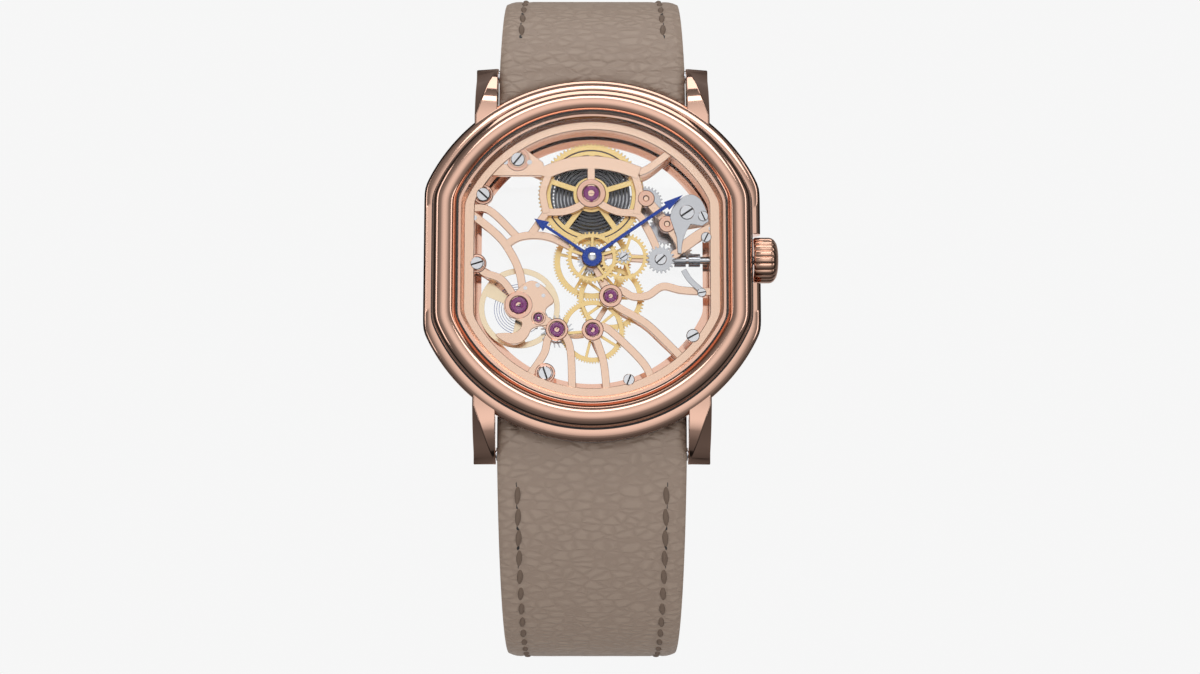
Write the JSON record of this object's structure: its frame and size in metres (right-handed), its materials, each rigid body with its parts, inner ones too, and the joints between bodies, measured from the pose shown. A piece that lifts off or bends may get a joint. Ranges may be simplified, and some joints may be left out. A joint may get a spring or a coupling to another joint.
{
  "type": "wristwatch",
  "caption": "Rose-gold dress wristwatch with an open-worked mechanical movement, blued hands and an open two-part padded leather strap with a pin buckle.",
  "frame": {"origin": "centre of the case back's outer flat face", "axes": "+Y out of the case back, the dial faces -Y, +Z towards 12 o'clock, +X towards the crown at 3 o'clock"},
  "size_m": [0.0374, 0.1074, 0.0787],
  "materials": {
    "rose_gold": "polished",
    "plate_gold": "brushed",
    "yellow_gold": "brushed",
    "steel": "polished",
    "dark_steel": "satin",
    "blued_steel": "polished",
    "ruby": "polished",
    "sapphire": "polished",
    "gasket": "matt",
    "leather": "pebbled grain"
  },
  "bodies": {
    "case": {"mid_case": "rose_gold", "bezel": "rose_gold", "crystal_front": "sapphire", "crystal_gasket": "gasket", "case_back": "rose_gold", "case_back_crystal": "sapphire", "crown_tube": "steel", "spring_bar_12": "steel", "spring_bar_6": "steel", "main_plate": "plate_gold", "barrel_bridge": "plate_gold", "train_bridge": "plate_gold", "balance_bridge": "plate_gold", "pallet_bridge": "plate_gold", "hairspring": "blued_steel", "jewel_barrel": "ruby", "jewel_third": "ruby", "jewel_fourth": "ruby", "jewel_escape": "ruby", "jewel_pallet": "ruby", "jewel_balance": "ruby", "plate_screw_1": "steel", "plate_screw_2": "steel", "plate_screw_3": "steel", "plate_screw_4": "steel", "setting_lever_spring": "steel", "yoke": "steel"},
    "stem": {"winding_stem": "steel"},
    "crown": {"crown": "rose_gold"},
    "winding_pinion": {"winding_pinion": "steel"},
    "sliding_pinion": {"sliding_pinion": "steel"},
    "crown_wheel": {"crown_wheel": "steel"},
    "winding_wheel_b": {"winding_wheel_b": "steel"},
    "winding_wheel_a": {"winding_wheel_a": "steel"},
    "ratchet": {"ratchet_wheel": "steel", "barrel_arbor": "steel"},
    "centre": {"centre_wheel": "yellow_gold", "cannon_pinion": "steel", "minute_hand": "blued_steel"},
    "barrel": {"barrel": "yellow_gold", "mainspring": "dark_steel"},
    "third": {"third_wheel": "yellow_gold"},
    "fourth": {"fourth_wheel": "yellow_gold"},
    "escape": {"escape_wheel": "steel"},
    "pallets": {"pallet_fork": "plate_gold"},
    "balance": {"balance_wheel": "yellow_gold"},
    "minute_wheel": {"minute_wheel": "yellow_gold"},
    "hour": {"hour_wheel": "yellow_gold", "hour_hand": "blued_steel"},
    "setting_wheel": {"setting_wheel": "steel"},
    "strap_12": {"strap_12": "leather", "fixed_keeper": "leather", "buckle_bar": "rose_gold"},
    "strap_6": {"strap_6": "leather"},
    "buckle": {"buckle_frame": "rose_gold"},
    "tang": {"buckle_tang": "rose_gold"},
    "free_keeper": {"free_keeper": "leather"}
  },
  "joints": [
    {"name": "crown_pull", "type": "slide", "parent": "case", "child": "stem", "axis": [1, 0, 0], "range_m": [0, 0.0009]},
    {"name": "crown_turn", "type": "hinge", "parent": "stem", "child": "crown", "pos_m": [0.017, -0.0034, 0], "axis": [1, 0, 0], "continuous": true},
    {"name": "winding_pinion_turn", "type": "hinge", "parent": "case", "child": "winding_pinion", "pos_m": [0.009, -0.0034, 0], "axis": [1, 0, 0], "continuous": true},
    {"name": "sliding_pinion_shift", "type": "slide", "parent": "case", "child": "sliding_pinion", "axis": [1, 0, 0], "range_m": [-0.00025, 0]},
    {"name": "crown_wheel_turn", "type": "hinge", "parent": "case", "child": "crown_wheel", "pos_m": [0.0093, 0, 0.001], "axis": [0, 1, 0], "continuous": true},
    {"name": "winding_wheel_b_turn", "type": "hinge", "parent": "case", "child": "winding_wheel_b", "pos_m": [0.0079, 0, 0.00366], "axis": [0, 1, 0], "continuous": true},
    {"name": "winding_wheel_a_turn", "type": "hinge", "parent": "case", "child": "winding_wheel_a", "pos_m": [0.0057, 0, 0.0064], "axis": [0, 1, 0], "continuous": true},
    {"name": "ratchet_turn", "type": "hinge", "parent": "case", "child": "ratchet", "pos_m": [-0.0001, 0, 0.00696], "axis": [0, 1, 0], "continuous": true},
    {"name": "centre_turn", "type": "hinge", "parent": "case", "child": "centre", "pos_m": [0, 0, 0], "axis": [0, 1, 0], "continuous": true},
    {"name": "barrel_turn", "type": "hinge", "parent": "case", "child": "barrel", "pos_m": [-0.0001, 0, 0.00696], "axis": [0, 1, 0], "continuous": true},
    {"name": "third_turn", "type": "hinge", "parent": "case", "child": "third", "pos_m": [0.00195, 0, -0.00402], "axis": [0, 1, 0], "continuous": true},
    {"name": "fourth_turn", "type": "hinge", "parent": "case", "child": "fourth", "pos_m": [0.00006, 0, -0.00762], "axis": [0, 1, 0], "continuous": true},
    {"name": "escape_turn", "type": "hinge", "parent": "case", "child": "escape", "pos_m": [-0.00368, 0, -0.00757], "axis": [0, 1, 0], "continuous": true},
    {"name": "minute_wheel_turn", "type": "hinge", "parent": "case", "child": "minute_wheel", "pos_m": [0.00333, 0, 0.0001], "axis": [0, 1, 0], "continuous": true},
    {"name": "hour_turn", "type": "hinge", "parent": "case", "child": "hour", "pos_m": [0, 0, 0], "axis": [0, 1, 0], "continuous": true},
    {"name": "setting_wheel_turn", "type": "hinge", "parent": "case", "child": "setting_wheel", "pos_m": [0.0072, 0, -0.00016], "axis": [0, 1, 0], "continuous": true},
    {"name": "pallet_rock", "type": "hinge", "parent": "case", "child": "pallets", "pos_m": [-0.00561, 0, -0.00635], "axis": [0, 1, 0], "range_deg": [-4, 4]},
    {"name": "balance_swing", "type": "hinge", "parent": "case", "child": "balance", "pos_m": [-0.00769, 0, -0.005], "axis": [0, 1, 0], "range_deg": [-270, 270], "stiffness_Nm_per_rad": 0.0000002},
    {"name": "strap_12_pivot", "type": "hinge", "parent": "case", "child": "strap_12", "pos_m": [0, -0.0017, 0.0204], "axis": [1, 0, 0], "range_deg": [-8, 8]},
    {"name": "strap_6_pivot", "type": "hinge", "parent": "case", "child": "strap_6", "pos_m": [0, -0.0017, -0.0204], "axis": [1, 0, 0], "range_deg": [-8, 8]},
    {"name": "buckle_hinge", "type": "hinge", "parent": "strap_12", "child": "buckle", "pos_m": [0, 0.06972, 0.0351], "axis": [1, 0, 0], "range_deg": [-25, 0]},
    {"name": "tang_hinge", "type": "hinge", "parent": "strap_12", "child": "tang", "pos_m": [0, 0.06972, 0.0351], "axis": [1, 0, 0], "range_deg": [0, 60]},
    {"name": "free_keeper_slide", "type": "slide", "parent": "strap_12", "child": "free_keeper", "axis": [0, 0.9982, 0.0597], "range_m": [-0.014, 0.003]}
  ],
  "couplings": [
    {"joint": "winding_pinion_turn", "follows": "crown_turn", "ratio": 1},
    {"joint": "crown_wheel_turn", "follows": "crown_turn", "ratio": 0.65},
    {"joint": "winding_wheel_b_turn", "follows": "crown_turn", "ratio": -0.46429},
    {"joint": "winding_wheel_a_turn", "follows": "crown_turn", "ratio": 0.46429},
    {"joint": "ratchet_turn", "follows": "crown_turn", "ratio": -0.2},
    {"joint": "sliding_pinion_shift", "follows": "crown_pull", "ratio": -0.25},
    {"joint": "barrel_turn", "follows": "centre_turn", "ratio": -0.2625},
    {"joint": "third_turn", "follows": "centre_turn", "ratio": -10},
    {"joint": "fourth_turn", "follows": "centre_turn", "ratio": 60},
    {"joint": "escape_turn", "follows": "centre_turn", "ratio": -540},
    {"joint": "minute_wheel_turn", "follows": "centre_turn", "ratio": -0.33333},
    {"joint": "hour_turn", "follows": "centre_turn", "ratio": 0.083333},
    {"joint": "setting_wheel_turn", "follows": "centre_turn", "ratio": 0.6}
  ]
}
